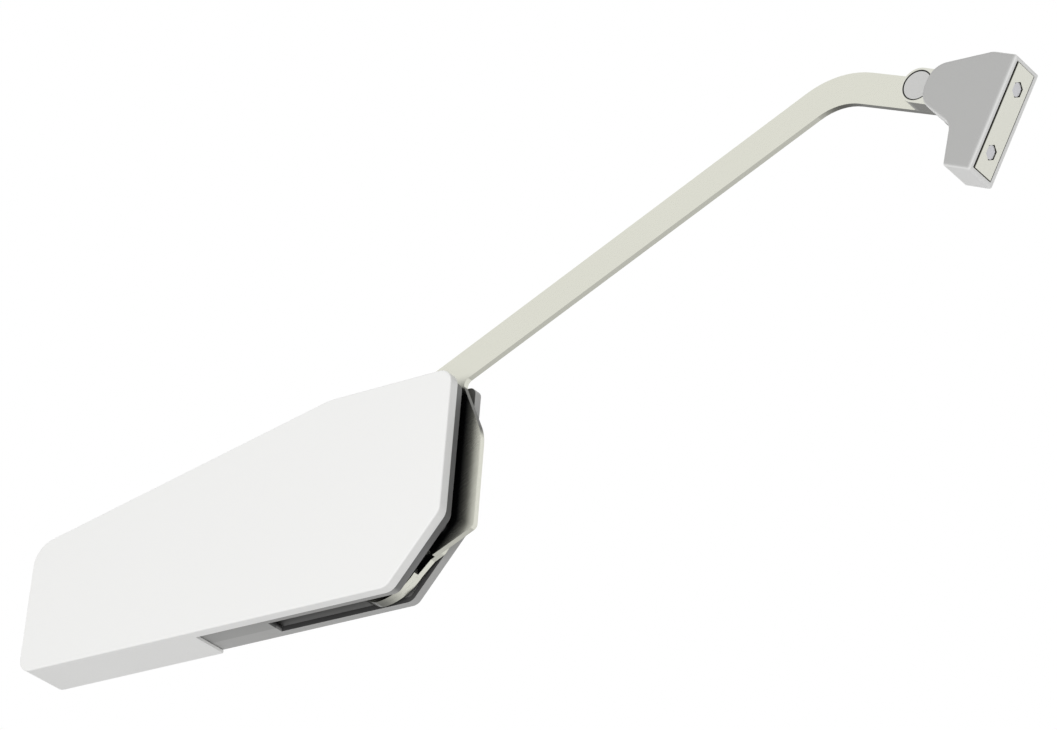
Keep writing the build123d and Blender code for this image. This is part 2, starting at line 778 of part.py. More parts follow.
# Bracket arm: eye round the pin, neck, and a foot behind the base plate
with BuildPart() as bracket_arm:
    with BuildSketch(bracket_plane(eye_depth)):
        Circle(eye_radius)
        with BuildLine():
            Polyline(
                (0, eye_radius), (14.0, eye_radius), (plate_rear, plate_top - 0.5),
                (plate_rear, plate_bottom + 0.5), (plate_rear - 5.0, plate_bottom + 0.5),
                (waist_v + cap_wall + 1.0, waist_u), (12.0, -eye_radius), (0, -eye_radius), close=True,
            )
        make_face()
        Circle(pin_radius + pin_play, mode=Mode.SUBTRACT)
    extrude(amount=eye_width)
    with BuildSketch(bracket_plane(eye_top - pin_head_height - 0.2)):
        Circle(pin_head_radius + pin_head_gap)
    extrude(amount=pin_head_height + 0.2, mode=Mode.SUBTRACT)
    for hex_u in hex_points:
        with BuildSketch(flap_plane(plate_rear, hex_u)):
            Circle(bolt_radius + press_gap)
        extrude(amount=-bolt_length, mode=Mode.SUBTRACT)

with BuildPart() as base_plate:
    with BuildSketch(bracket_plane(plate_far)):
        with Locations((plate_rear, plate_bottom)):
            Rectangle(base_sheet, plate_top - plate_bottom, align=(Align.MIN, Align.MIN))
    extrude(amount=plate_width)
    for hex_u in hex_points:
        with BuildSketch(flap_plane(plate_rear, hex_u)):
            Circle(bolt_radius + press_gap)
        extrude(amount=base_sheet, mode=Mode.SUBTRACT)
        with BuildSketch(flap_plane(flap_face, hex_u)):
            RegularPolygon((hex_flats + hex_gap) / 2, 6, major_radius=False)
        extrude(amount=-hex_height, mode=Mode.SUBTRACT)

with BuildPart() as flap_bolts:
    for hex_u in hex_points:
        with BuildSketch(flap_plane(flap_face, hex_u)):
            RegularPolygon(hex_flats / 2, 6, major_radius=False)
        extrude(amount=-hex_height)
        with BuildSketch(flap_plane(flap_face - hex_height, hex_u)):
            Circle(bolt_radius)
        extrude(amount=hex_height - base_sheet - bolt_length + 0.5)

# Bracket cap: a moulded hood, open towards the flap and where the arm and the eye come in
with BuildPart() as bracket_cap:
    with BuildSketch(bracket_plane(cap_depth)):
        add(cap_outline)
    extrude(amount=cap_width)
    near_face = bracket_cap.faces().sort_by(Axis.Y)[0]
    front_edge = near_face.edges().sort_by(flap_plane(0, 0).location.z_axis)[-1]
    fillet([edge for edge in near_face.edges() if edge is not front_edge], cap_edge)
    with BuildSketch(bracket_plane(cap_depth + cap_wall)):
        add(cap_inside)
        with Locations((cap_front - cap_wall - 1.0, -cap_bottom + cap_wall)):
            Rectangle(5.0, cap_top + cap_bottom - 2 * cap_wall, align=(Align.MIN, Align.MIN))
    extrude(amount=cap_width - cap_wall - cap_near_wall, mode=Mode.SUBTRACT)
    with BuildSketch(bracket_plane(cap_depth + cap_wall)):
        with Locations((0, 0)):
            Rectangle(12.0, 2 * eye_radius + 2 * plate_gap, align=(Align.MIN, Align.CENTER))
    extrude(amount=cap_width - cap_wall - cap_near_wall, mode=Mode.SUBTRACT)
    with BuildSketch(bracket_plane(cap_depth + cap_wall)):
        with Locations((0, -arm_sweep_low)):
            Rectangle(arm_sweep_top, arm_sweep_low + cap_top + cap_wall, align=(Align.MIN, Align.MIN))
    extrude(amount=eye_depth - cap_depth - cap_wall, mode=Mode.SUBTRACT)

pieces = {
    "cover_cap": cover_cap, "inner_case": inner_case, "outer_case": outer_case,
    "case_screws": case_screws, "lever_axle": lever_axle, "bearing_plate": bearing_plate,
    "damper_cylinder": damper_cylinder, "upper_spring": upper_spring, "lower_spring": lower_spring,
    "spring_slide": spring_slide, "guide_rods": guide_rods, "roller_pin": roller_pin,
    "cam_roller": cam_roller, "damper_rod": damper_rod, "force_spindle": force_spindle,
    "spring_seat": spring_seat, "arm_plate": arm_plate, "cam_plate": cam_plate,
    "hub_bush": hub_bush, "hub_rivets": hub_rivets, "bracket_pin": bracket_pin,
    "pin_washer": pin_washer, "bracket_arm": bracket_arm, "base_plate": base_plate,
    "flap_bolts": flap_bolts, "bracket_cap": bracket_cap,
}
for name, piece in pieces.items():
    piece.part.label = name
    export_step(piece.part, f"parts/{name}.step")
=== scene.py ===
# %% [markdown]
# # A lift-up flap stay, dressed for its picture
# The stay comes in as a finished set of solids: a flat housing with a white cover, a sheet-steel lever that
# swings out of a slot in its front, and a small bracket that is screwed to the cabinet's flap. This
# notebook leaves every solid where it is. It sets up the camera and the light of a plain product picture,
# gives each solid the finish that the real piece has, paints light and shade into the colour of several of
# them, and makes anew the few pieces whose surface is finer than a solid model carries.

from math import atan2, cos, pi, radians, sin, tau

import bmesh
import bpy
import numpy as np
from mathutils import Matrix, Vector


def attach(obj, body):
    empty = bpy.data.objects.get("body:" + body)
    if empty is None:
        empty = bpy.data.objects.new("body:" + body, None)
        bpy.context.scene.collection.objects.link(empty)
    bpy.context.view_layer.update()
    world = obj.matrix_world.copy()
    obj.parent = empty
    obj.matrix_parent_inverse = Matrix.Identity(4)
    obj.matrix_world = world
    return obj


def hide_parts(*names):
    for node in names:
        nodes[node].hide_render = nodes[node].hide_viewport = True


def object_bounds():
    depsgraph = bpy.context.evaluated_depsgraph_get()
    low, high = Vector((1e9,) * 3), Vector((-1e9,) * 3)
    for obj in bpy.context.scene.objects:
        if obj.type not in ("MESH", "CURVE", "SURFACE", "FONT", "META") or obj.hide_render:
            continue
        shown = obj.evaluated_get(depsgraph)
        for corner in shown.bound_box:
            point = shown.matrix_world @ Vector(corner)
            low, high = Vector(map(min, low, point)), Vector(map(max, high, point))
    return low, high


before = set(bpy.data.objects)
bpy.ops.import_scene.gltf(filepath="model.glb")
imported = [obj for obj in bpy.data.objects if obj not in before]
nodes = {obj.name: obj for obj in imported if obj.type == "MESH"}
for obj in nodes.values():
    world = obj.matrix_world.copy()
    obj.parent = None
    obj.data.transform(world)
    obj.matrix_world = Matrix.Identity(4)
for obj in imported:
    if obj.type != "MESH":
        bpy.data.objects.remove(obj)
solid_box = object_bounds()
scene = bpy.context.scene

# %% [markdown]
# ## The camera
# The picture looks up at the stay from in front and below, from about 1.2 m, through a long lens that
# hardly bends the parallel edges. A camera can be aimed with a Track To constraint, or by writing its
# rotation as the three directions it sees: right, up and backwards. The second way is used here, because
# those directions were worked out from the straight edges of the white cover, and a rotation matrix takes
# them as they are.

# %% Place the camera
camera_right = Vector((0.8130348, 0.5778816, 0.0709036))
camera_up = Vector((0.2169083, -0.4136626, 0.8842138))
camera_back = Vector((0.5403011, -0.7035170, -0.4616694))
camera_place = Vector((0.7084063, -0.8621896, -0.5073637))

camera_data = bpy.data.cameras.new("picture_camera")
camera_data.sensor_width = 36.0
camera_data.lens = 3862.645 / 1057 * 36.0
camera_data.clip_end = 50.0
camera = bpy.data.objects.new("picture_camera", camera_data)
rotation = Matrix((camera_right, camera_up, camera_back)).transposed().to_4x4()
camera.matrix_world = Matrix.Translation(camera_place) @ rotation
scene.collection.objects.link(camera)
scene.camera = camera
print(f"lens {camera_data.lens:.1f} mm")

# %% [markdown]
# ## Floor, room and light
# A product picture on white needs two things at once: a background that is white to the eye, and light that
# is gentle enough for a white cover to keep its shading. The Light Path node parts the two. Rays that come
# from the camera or from a reflection see plain white, and every other ray, which is the light itself,
# finds a dimmer grey sky. Two large soft lamps then give the faces their order of brightness: the broad
# side first, the underside next, the front edge last. The lamps are kept out of mirror rays: a bright sheet
# that happens to face one shows the white room in it, and doesn't burn out.

# %% A sky that is white to look at and dim as a lamp
scene.view_settings.view_transform = "Standard"


def white_to_the_eye(tree, dim_shader, strength=1.0):
    """A shader that is plain white to camera, mirror and glass rays, and dim_shader to all others."""
    path = tree.nodes.new("ShaderNodeLightPath")
    seen = tree.nodes.new("ShaderNodeMath")
    seen.operation = "MAXIMUM"
    seen_too = tree.nodes.new("ShaderNodeMath")
    seen_too.operation = "MAXIMUM"
    tree.links.new(path.outputs["Is Camera Ray"], seen.inputs[0])
    tree.links.new(path.outputs["Is Glossy Ray"], seen.inputs[1])
    tree.links.new(seen.outputs[0], seen_too.inputs[0])
    tree.links.new(path.outputs["Is Transmission Ray"], seen_too.inputs[1])
    white = tree.nodes.new("ShaderNodeBackground" if tree == scene.world.node_tree else "ShaderNodeEmission")
    white.inputs["Color"].default_value = (1, 1, 1, 1)
    white.inputs["Strength"].default_value = strength
    mix = tree.nodes.new("ShaderNodeMixShader")
    tree.links.new(seen_too.outputs[0], mix.inputs[0])
    tree.links.new(dim_shader, mix.inputs[1])
    tree.links.new(white.outputs[0], mix.inputs[2])
    return mix.outputs[0]


sky_strength = 0.54
scene.world = bpy.data.worlds.new("studio")
scene.world.use_nodes = True
sky = scene.world.node_tree
sky.nodes["Background"].inputs["Color"].default_value = (1.0, 1.0, 0.99, 1)
sky.nodes["Background"].inputs["Strength"].default_value = sky_strength
sky.links.new(
    white_to_the_eye(sky, sky.nodes["Background"].outputs[0]), sky.nodes["World Output"].inputs["Surface"]
)
print("sky strength", sky_strength)

# %% Floor, far below the stay
floor_height = -2.6
floor_radius = 7.0


def disc(name, radius, height, around=96, rings=6):
    """A flat disc: points at (r cos t, r sin t, height) on rings of radius r and angle t, closed by a centre."""
    t, r = np.meshgrid(np.linspace(0, tau, around, endpoint=False), np.linspace(0, radius, rings + 1)[1:])
    points = np.stack([r * np.cos(t), r * np.sin(t), np.full_like(r, height)], axis=-1).reshape(-1, 3)
    points = np.vstack([[[0.0, 0.0, height]], points])
    here = np.arange(around)
    after = (here + 1) % around
    faces = [(0, 1 + a, 1 + b) for a, b in zip(here, after)]
    for ring in range(rings - 1):
        low, high = 1 + ring * around, 1 + (ring + 1) * around
        faces += [(low + a, high + a, high + b, low + b) for a, b in zip(here, after)]
    mesh = bpy.data.meshes.new(name)
    mesh.from_pydata(points.tolist(), [], faces)
    mesh.update()
    made = bpy.data.objects.new(name, mesh)
    scene.collection.objects.link(made)
    return made


floor = disc("studio_floor", floor_radius, floor_height)
floor_finish = bpy.data.materials.new("pale_floor")
floor_finish.use_nodes = True
floor_nodes = floor_finish.node_tree
matt = floor_nodes.nodes["Principled BSDF"]
matt.inputs["Base Color"].default_value = (0.9, 0.9, 0.9, 1)
matt.inputs["Roughness"].default_value = 0.9
floor_nodes.links.new(
    white_to_the_eye(floor_nodes, matt.outputs[0]), floor_nodes.nodes["Material Output"].inputs["Surface"]
)
floor.data.materials.append(floor_finish)
print("floor", floor_height, "m high,", floor_radius, "m wide")

# %% Two soft lamps
stay_middle = (Vector(solid_box[0]) + Vector(solid_box[1])) / 2


def soft_lamp(name, towards, distance, level, size):
    """A square lamp that stands towards a direction from the stay and gives it about that level of light."""
    data = bpy.data.lights.new(name, "AREA")
    data.shape = "SQUARE"
    data.size = size
    data.energy = level * pi * pi * distance**2
    lamp = bpy.data.objects.new(name, data)
    away = Vector(towards).normalized()
    lamp.location = stay_middle + away * distance
    lamp.rotation_euler = away.to_track_quat("Z", "Y").to_euler()
    lamp.visible_glossy = False
    scene.collection.objects.link(lamp)
    return lamp


key_level = 0.56
fill_level = 0.18
soft_lamp("key_lamp", (0.25, -1.0, -0.35), 2.4, key_level, 1.6)
soft_lamp("back_lamp", (-0.3, 0.7, 1.0), 2.6, fill_level, 2.0)
print("lamp levels", key_level, fill_level)

# %% [markdown]
# ## Finishes
# Every piece of the stay is moulded plastic or plated sheet steel. Plastic from a spark-eroded tool has a
# fine, even grain that breaks up its gloss. Sheet steel keeps the faint lines of the rolling mill under its
# plating. Both effects are wanted on several materials, so each is built once as a node group with its own
# inputs, and each material places it with its own values.

# %% Small helpers for node trees


def place(tree, kind, **settings):
    """A new node of a kind, with its properties set by name."""
    node = tree.nodes.new(kind)
    for key, value in settings.items():
        setattr(node, key, value)
    return node


def new_group(name, inputs, outputs):
    """An empty node group with named float inputs (name: default) and outputs (name: socket type)."""
    group = bpy.data.node_groups.new(name, "ShaderNodeTree")
    for key, value in inputs.items():
        socket = group.interface.new_socket(key, in_out="INPUT", socket_type="NodeSocketFloat")
        socket.default_value = value
    for key, kind in outputs.items():
        group.interface.new_socket(key, in_out="OUTPUT", socket_type=kind)
    return group, group.nodes.new("NodeGroupInput"), group.nodes.new("NodeGroupOutput")


def arithmetic(tree, operation, first, second):
    """A Math node on two inputs, each a socket or a number."""
    node = place(tree, "ShaderNodeMath", operation=operation)
    for slot, value in enumerate((first, second)):
        if isinstance(value, (int, float)):
            node.inputs[slot].default_value = value
        else:
            tree.links.new(value, node.inputs[slot])
    return node.outputs[0]


# %% [markdown]
# The grain of a moulded face is a noise a few tenths of a millimetre wide. The same noise drives a bump, a
# small change of roughness and a slight mottle of colour, because all three come from the same little pits.

# %% Node group: moulded grain
moulded_grain, group_in, group_out = new_group(
    "moulded_grain",
    {"Grains per metre": 4000.0, "Depth": 0.15, "Roughness": 0.4, "Mottle": 0.02},
    {"Tone": "NodeSocketFloat", "Roughness": "NodeSocketFloat", "Normal": "NodeSocketVector"},
)
where = place(moulded_grain, "ShaderNodeTexCoord")
pits = place(moulded_grain, "ShaderNodeTexNoise")
pits.inputs["Detail"].default_value = 3.0
pits.inputs["Roughness"].default_value = 0.6
flow = place(moulded_grain, "ShaderNodeTexNoise")
flow.inputs["Scale"].default_value = 28.0
flow.inputs["Detail"].default_value = 2.0
bump = place(moulded_grain, "ShaderNodeBump")
bump.inputs["Distance"].default_value = 0.00004
moulded_grain.links.new(where.outputs["Object"], pits.inputs["Vector"])
moulded_grain.links.new(where.outputs["Object"], flow.inputs["Vector"])
moulded_grain.links.new(group_in.outputs["Grains per metre"], pits.inputs["Scale"])
moulded_grain.links.new(pits.outputs["Fac"], bump.inputs["Height"])
moulded_grain.links.new(group_in.outputs["Depth"], bump.inputs["Strength"])
centred = arithmetic(moulded_grain, "SUBTRACT", pits.outputs["Fac"], 0.5)
drift = arithmetic(moulded_grain, "SUBTRACT", flow.outputs["Fac"], 0.5)
both = arithmetic(moulded_grain, "ADD", centred, drift)
tone = arithmetic(
    moulded_grain, "ADD", 1.0, arithmetic(moulded_grain, "MULTIPLY", both, group_in.outputs["Mottle"])
)
matt_spread = arithmetic(moulded_grain, "MULTIPLY", both, 0.25)
moulded_grain.links.new(tone, group_out.inputs["Tone"])
moulded_grain.links.new(
    arithmetic(moulded_grain, "ADD", group_in.outputs["Roughness"], matt_spread), group_out.inputs["Roughness"]
)
moulded_grain.links.new(bump.outputs["Normal"], group_out.inputs["Normal"])
print("built", moulded_grain.name)

# %% [markdown]
# Rolled steel has lines along the sheet. A noise that is stretched a hundredfold along one axis gives them.
# The stretch is turned to the lie of the piece by three inputs that scale the coordinates, and the plating
# on top adds a soft cloud of slightly duller spots.

# %% Node group: rolled steel
rolled_steel, group_in, group_out = new_group(
    "rolled_steel",
    {"Turn": 0.0, "Lines per metre": 3000.0, "Depth": 0.1, "Roughness": 0.35, "Mottle": 0.05},
    {"Tone": "NodeSocketFloat", "Roughness": "NodeSocketFloat", "Normal": "NodeSocketVector"},
)
where = place(rolled_steel, "ShaderNodeTexCoord")
turned = place(rolled_steel, "ShaderNodeVectorRotate", rotation_type="Y_AXIS")
stretch = place(rolled_steel, "ShaderNodeVectorMath", operation="MULTIPLY")
stretch.inputs[1].default_value = (0.012, 1.0, 1.0)
lines = place(rolled_steel, "ShaderNodeTexNoise")
lines.inputs["Detail"].default_value = 4.0
lines.inputs["Roughness"].default_value = 0.65
cloud = place(rolled_steel, "ShaderNodeTexNoise")
cloud.inputs["Scale"].default_value = 55.0
cloud.inputs["Detail"].default_value = 3.0
bump = place(rolled_steel, "ShaderNodeBump")
bump.inputs["Distance"].default_value = 0.00003
rolled_steel.links.new(where.outputs["Object"], turned.inputs["Vector"])
rolled_steel.links.new(group_in.outputs["Turn"], turned.inputs["Angle"])
rolled_steel.links.new(turned.outputs["Vector"], stretch.inputs[0])
rolled_steel.links.new(stretch.outputs["Vector"], lines.inputs["Vector"])
rolled_steel.links.new(where.outputs["Object"], cloud.inputs["Vector"])
rolled_steel.links.new(group_in.outputs["Lines per metre"], lines.inputs["Scale"])
rolled_steel.links.new(lines.outputs["Fac"], bump.inputs["Height"])
rolled_steel.links.new(group_in.outputs["Depth"], bump.inputs["Strength"])
centred = arithmetic(rolled_steel, "SUBTRACT", lines.outputs["Fac"], 0.5)
drift = arithmetic(rolled_steel, "SUBTRACT", cloud.outputs["Fac"], 0.5)
both = arithmetic(rolled_steel, "ADD", centred, drift)
tone = arithmetic(
    rolled_steel, "ADD", 1.0, arithmetic(rolled_steel, "MULTIPLY", both, group_in.outputs["Mottle"])
)
matt_spread = arithmetic(rolled_steel, "MULTIPLY", both, 0.12)
rolled_steel.links.new(tone, group_out.inputs["Tone"])
rolled_steel.links.new(
    arithmetic(rolled_steel, "ADD", group_in.outputs["Roughness"], matt_spread), group_out.inputs["Roughness"]
)
rolled_steel.links.new(bump.outputs["Normal"], group_out.inputs["Normal"])
print("built", rolled_steel.name)

# %% [markdown]
# ## From groups to materials
# A material here is a Principled shader fed by one of the two groups. The group's Tone scales the colour,
# so the pits and lines that catch the light also carry a trace of colour change.

# %% Two kinds of material


def finished(name, group, colour, metallic=0.0, specular=0.5, **values):
    """A Principled material whose colour, roughness and normal come from a grain group with its own values."""
    material = bpy.data.materials.new(name)
    material.use_nodes = True
    tree = material.node_tree
    shader = tree.nodes["Principled BSDF"]
    grain = place(tree, "ShaderNodeGroup", node_tree=group)
    for key, value in values.items():
        grain.inputs[key.replace("_", " ")].default_value = value
    paint = place(tree, "ShaderNodeVectorMath", operation="SCALE")
    paint.inputs[0].default_value = colour
    tree.links.new(grain.outputs["Tone"], paint.inputs["Scale"])
    tree.links.new(paint.outputs["Vector"], shader.inputs["Base Color"])
    tree.links.new(grain.outputs["Roughness"], shader.inputs["Roughness"])
    tree.links.new(grain.outputs["Normal"], shader.inputs["Normal"])
    shader.inputs["Metallic"].default_value = metallic
    shader.inputs["Specular IOR Level"].default_value = specular
    return material


lever_angle = radians(25)
bracket_angle = radians(-23.8)
white_cover = finished(
    "white_moulded", moulded_grain, (0.88, 0.88, 0.873), Roughness=0.42, Depth=0.12, Mottle=0.012
)
outer_grey = finished(
    "grey_outer_half", moulded_grain, (0.44, 0.44, 0.435), Roughness=0.5, Depth=0.2, Mottle=0.04
)
# The inner half's darker grey is painted shade laid on the grey of the outer half.
inner_grey_shaded = finished(
    "grey_inner_half", moulded_grain, (0.36, 0.36, 0.355), Roughness=0.5, Depth=0.2, Mottle=0.04
)
dark_plastic = finished(
    "black_moulded", moulded_grain, (0.05, 0.05, 0.055), Roughness=0.45, Depth=0.2, Mottle=0.05
)
lever_steel = finished(
    "nickel_plated_sheet", rolled_steel, (0.71, 0.71, 0.63), metallic=0.9, Turn=lever_angle, Roughness=0.26,
    Depth=0.03, Mottle=0.02,
)
bracket_steel = finished(
    "nickel_plated_bracket", rolled_steel, (0.72, 0.72, 0.65), metallic=0.9, Turn=bracket_angle, Roughness=0.26,
    Depth=0.03, Mottle=0.02,
)
zinc_steel = finished(
    "zinc_plated_steel", rolled_steel, (0.6, 0.6, 0.59), metallic=0.9, Roughness=0.38, Depth=0.12, Mottle=0.08
)
spring_wire = finished(
    "drawn_spring_wire", rolled_steel, (0.33, 0.33, 0.34), metallic=1.0, Roughness=0.3, Depth=0.1, Mottle=0.1
)
bush_brass = finished(
    "bearing_brass", rolled_steel, (0.66, 0.5, 0.24), metallic=1.0, Roughness=0.35, Depth=0.1, Mottle=0.06
)
print("made", len(bpy.data.materials), "materials")

# %% [markdown]
# Some pieces get a second colour on part of their surface, and in this script every such colour is painted
# light or shade. A mask, a number from 0 to 1 that changes over the surface, says where. It can come from
# where a point lies, which Texture Coordinate's Object output gives, or from the way a face points, which
# Geometry's Normal gives. The helper below lays a colour over a finished material where a mask is one.

# %% Lay a second colour over a material


def overlay(material, mask_group, colour):
    """Mixes colour over the material's own Base Color by the Mask that a node group puts out."""
    tree = material.node_tree
    shader = tree.nodes["Principled BSDF"]
    below = shader.inputs["Base Color"].links[0].from_socket
    mask = place(tree, "ShaderNodeGroup", node_tree=mask_group)
    mix = place(tree, "ShaderNodeMix", data_type="RGBA")
    mix.inputs["B"].default_value = (*colour, 1)
    tree.links.new(mask.outputs["Mask"], mix.inputs["Factor"])
    tree.links.new(below, mix.inputs["A"])
    tree.links.new(mix.outputs["Result"], shader.inputs["Base Color"])


def ramp(tree, value, low, high):
    """A smooth step of a value: 0 at low, 1 at high."""
    step = place(tree, "ShaderNodeMapRange", interpolation_type="SMOOTHSTEP")
    step.inputs["From Min"].default_value = low
    step.inputs["From Max"].default_value = high
    tree.links.new(value, step.inputs["Value"])
    return step.outputs["Result"]


def towards(tree, vector, direction):
    """How far a vector points in a direction: their dot product."""
    dot = place(tree, "ShaderNodeVectorMath", operation="DOT_PRODUCT")
    tree.links.new(vector, dot.inputs[0])
    dot.inputs[1].default_value = direction
    return dot.outputs["Value"]


def point_of(tree):
    """Where a point of the part lies: the Object output of Texture Coordinate."""
    return place(tree, "ShaderNodeTexCoord").outputs["Object"]


def normal_of(tree):
    """Which way a face points: the Normal output of Geometry."""
    return place(tree, "ShaderNodeNewGeometry").outputs["Normal"]


def new_mask(name):
    """An empty node group with one output, Mask, and the socket that fills it."""
    group = bpy.data.node_groups.new(name, "ShaderNodeTree")
    group.interface.new_socket("Mask", in_out="OUTPUT", socket_type="NodeSocketFloat")
    return group, group.nodes.new("NodeGroupOutput").inputs["Mask"]


# %% [markdown]
# The bracket's cap is moulded in one piece of one grey. Its broad side is painted darker than its rim, and
# its rim and underside are painted lighter: the two tones are painted light and shade. The broad side is the
# one that faces the room, so the mask asks how far the normal points along -Y.

# %% Painted shade on the cap's broad side
broad_side_shade, mask_out = new_mask("broad_side_shade")
room_side = towards(broad_side_shade, normal_of(broad_side_shade), (0.0, -1.0, 0.0))
broad_side_shade.links.new(ramp(broad_side_shade, room_side, 0.35, 0.98), mask_out)
# Pale grey painted light on the rim and underside, with painted shade laid on the broad side.
cap_grey = finished(
    "grey_cap_moulded", moulded_grain, (0.85, 0.85, 0.845), Roughness=0.5, Depth=0.15, Mottle=0.02
)
overlay(cap_grey, broad_side_shade, (0.44, 0.44, 0.435))
print("painted shade on the broad side of", cap_grey.name)

# %% [markdown]
# The slot for the lever is dark inside, because little light finds its way in, and that shade is painted
# into the colour of its walls. The mask is one on the walls that face the slot, and everywhere that lies deep
# under the housing's outline. How deep a point lies is the least of its distances to the outline's six
# straight edges. Each edge is given by the direction that points inwards from it and by its distance from
# the lever's axis.

# %% Painted shade on the walls of the slot and the cavity
bottom_edge = ((0.0, 0.0, 1.0), 0.019)
front_edge = ((-1.0, 0.0, 0.0), 0.0295)
top_edge = ((0.0, 0.0, -1.0), 0.0536)
rear_edge = ((1.0, 0.0, 0.0), 0.1425)
chamfer_edge = ((-0.7734, 0.0, 0.6337), 0.02047)
sloped_edge = ((0.2116, 0.0, -0.9774), 0.05654)
slot_far = 0.0021
slot_near = 0.0149
soft = 0.0003
slot_shade_colour = (0.065, 0.065, 0.065)


def inside_of(tree, point, edge):
    """How far a point lies inwards of an edge of the housing's outline."""
    direction, offset = edge
    return arithmetic(tree, "ADD", towards(tree, point, direction), offset)


dark_slot, mask_out = new_mask("dark_slot")
where = point_of(dark_slot)
deepest = inside_of(dark_slot, where, bottom_edge)
for edge in (front_edge, top_edge, rear_edge, chamfer_edge, sloped_edge):
    deepest = arithmetic(dark_slot, "MINIMUM", deepest, inside_of(dark_slot, where, edge))
under_skin = ramp(dark_slot, deepest, 0.0017, 0.0026)
across = arithmetic(dark_slot, "ABSOLUTE", towards(dark_slot, normal_of(dark_slot), (0.0, 1.0, 0.0)), 0.0)
slot_wall = ramp(dark_slot, across, 0.8, 0.95)
depth = towards(dark_slot, where, (0.0, -1.0, 0.0))
past_far = ramp(dark_slot, depth, slot_far - soft, slot_far + soft)
before_near = ramp(dark_slot, depth, slot_near + soft, slot_near - soft)
inside = arithmetic(dark_slot, "MULTIPLY", past_far, before_near)
either = arithmetic(dark_slot, "MAXIMUM", under_skin, slot_wall)
dark_slot.links.new(arithmetic(dark_slot, "MULTIPLY", inside, either), mask_out)

# Painted shade: the inner half's faces that point along +X are painted darker.
front_face_shade, mask_out = new_mask("front_face_shade")
forwards = towards(front_face_shade, normal_of(front_face_shade), (1.0, 0.0, 0.0))
front_face_shade.links.new(ramp(front_face_shade, forwards, 0.3, 0.7), mask_out)

# Painted shade: the slot walls and the deep cavity are painted near black.
overlay(outer_grey, dark_slot, slot_shade_colour)
overlay(inner_grey_shaded, front_face_shade, (0.2, 0.2, 0.2))
overlay(inner_grey_shaded, dark_slot, slot_shade_colour)
print("dark slot on", outer_grey.name, "and", inner_grey_shaded.name)

# %% [markdown]
# A stamped sheet shows its cut edges. They are painted dark as shade, least on the edges at the very front
# and most on those that point down and to the rear. Two masks follow from the normal: one for the edges that
# are neither at the front nor underneath, and one for the lower rear.

# %% Painted shade on the cut edges of the sheet
cut_edge_shade, mask_out = new_mask("cut_edge_shade")
facing = normal_of(cut_edge_shade)
across = arithmetic(cut_edge_shade, "ABSOLUTE", towards(cut_edge_shade, facing, (0.0, 1.0, 0.0)), 0.0)
any_edge = ramp(cut_edge_shade, across, 0.7, 0.4)
not_front = ramp(cut_edge_shade, towards(cut_edge_shade, facing, (0.95, 0.0, -0.3)), 0.93, 0.78)
not_below = ramp(cut_edge_shade, towards(cut_edge_shade, facing, (0.42, 0.0, -0.91)), 0.5, 0.2)
edge_shade = arithmetic(cut_edge_shade, "MULTIPLY", not_front, not_below)
cut_edge_shade.links.new(arithmetic(cut_edge_shade, "MULTIPLY", any_edge, edge_shade), mask_out)

lower_rear_shade, mask_out = new_mask("lower_rear_shade")
down_and_back = towards(lower_rear_shade, normal_of(lower_rear_shade), (-0.383, 0.0, -0.924))
lower_rear_shade.links.new(ramp(lower_rear_shade, down_and_back, 0.5, 0.96), mask_out)

overlay(lever_steel, cut_edge_shade, (0.07, 0.07, 0.06))
overlay(lever_steel, lower_rear_shade, (0.08, 0.08, 0.07))
overlay(bracket_steel, lower_rear_shade, (0.1, 0.1, 0.088))
print("painted shade on the edges of", lever_steel.name, "and", bracket_steel.name)

# %% [markdown]
# Where the hub comes out of the slot, the housing shades its face, and that shade is painted in, a few
# millimetres out over the plate's face. It is black at the housing's edge and fades outwards, and deep
# inside it drops to a trace. The mask is the same distance to the housing's outline as before, here
# measured outside it, and it ends where the arm leaves the housing at the top.

# %% Painted shade on the hub
shade_reach = 0.0075
shade_depth = 0.006
shade_fade_depth = 0.013
inner_shade_level = 0.3
hub_shade, mask_out = new_mask("hub_shade")
where = point_of(hub_shade)
from_front = inside_of(hub_shade, where, front_edge)
from_chamfer = inside_of(hub_shade, where, chamfer_edge)
nearest_edge = arithmetic(hub_shade, "MINIMUM", from_front, from_chamfer)
shade_band = ramp(hub_shade, nearest_edge, -shade_reach, 0.0005)
left_inside = ramp(hub_shade, nearest_edge, shade_fade_depth, shade_depth)
shade_band = arithmetic(hub_shade, "MULTIPLY", shade_band, arithmetic(hub_shade, "MAXIMUM", left_inside, inner_shade_level))
below_arm = ramp(hub_shade, towards(hub_shade, where, (0.0, 0.0, 1.0)), 0.056, 0.048)
on_face = ramp(hub_shade, towards(hub_shade, normal_of(hub_shade), (0.0, -1.0, 0.0)), 0.5, 0.9)
on_hub = arithmetic(hub_shade, "MULTIPLY", below_arm, on_face)
hub_shade.links.new(arithmetic(hub_shade, "MULTIPLY", shade_band, on_hub), mask_out)
overlay(lever_steel, hub_shade, (0.012, 0.013, 0.014))
print("painted shade reaches out", shade_reach, "m")

# %% [markdown]
# Round the sunk head of the pivot pin, the edge of its seat is painted dark as the shade in the gap. Its
# mask is a ring: the distance from the pin's axis, taken in the X and Z directions only.

